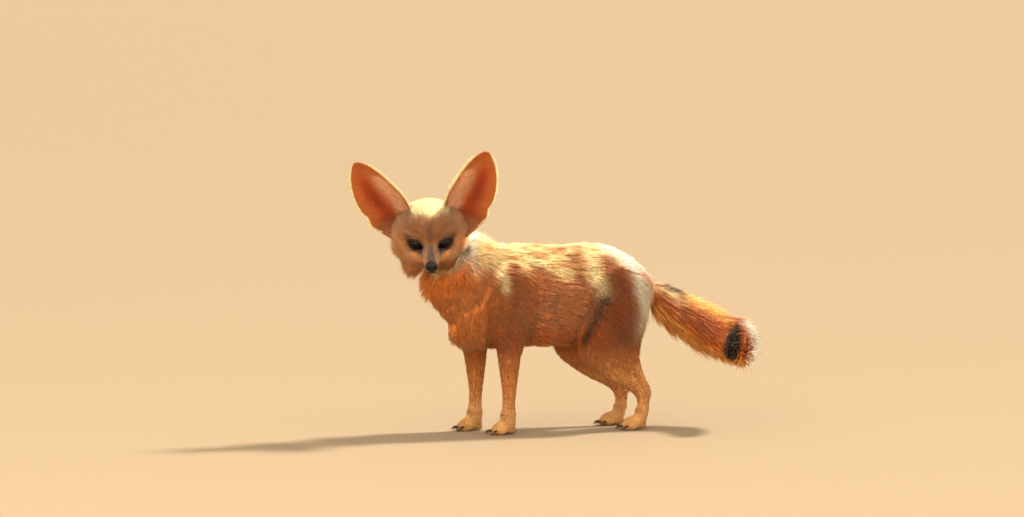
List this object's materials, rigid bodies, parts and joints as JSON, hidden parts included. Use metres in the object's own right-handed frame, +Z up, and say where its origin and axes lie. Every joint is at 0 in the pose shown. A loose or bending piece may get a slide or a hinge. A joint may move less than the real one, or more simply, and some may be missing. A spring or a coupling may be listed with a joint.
{
  "type": "fennec fox model",
  "caption": "Life-size still model of a fennec fox standing on four paws, head turned to its left, tall ears up and bushy tail hanging behind.",
  "frame": {"origin": "on the floor under the middle of the fox's outline box", "axes": "+X towards the tail, -X towards the chest, -Y to the animal's left side, +Z up"},
  "size_m": [0.4684, 0.1672, 0.3201],
  "materials": {
    "body_fur": "soft dense fur lying flat, sandy cream back ticked with dark brown, warm tawny flanks and legs",
    "face_fur": "very short fur, cream crown, grey-brown forehead, tawny cheeks and a blue-grey muzzle bridge",
    "ear_fur": "thin short fur, rust-red inside with pale hair along the inner edge, cream rim",
    "tail_fur": "long bushy hair, orange-brown with a dark patch near the root and a black tip",
    "eye": "wet, very dark brown eye with a round pupil",
    "nose_leather": "moist black nose pad with fine bumps"
  },
  "bodies": {
    "root": {"torso": "body_fur", "neck": "body_fur", "foreleg_left": "body_fur", "foreleg_right": "body_fur", "hindleg_left": "body_fur", "hindleg_right": "body_fur", "forepaw_left": "body_fur", "forepaw_right": "body_fur", "hindpaw_left": "body_fur", "hindpaw_right": "body_fur", "head": "face_fur", "ear_left": "ear_fur", "ear_right": "ear_fur", "tail_base": "tail_fur", "tail_end": "tail_fur", "eye_left": "eye", "eye_right": "eye", "nose": "nose_leather"}
  },
  "joints": []
}
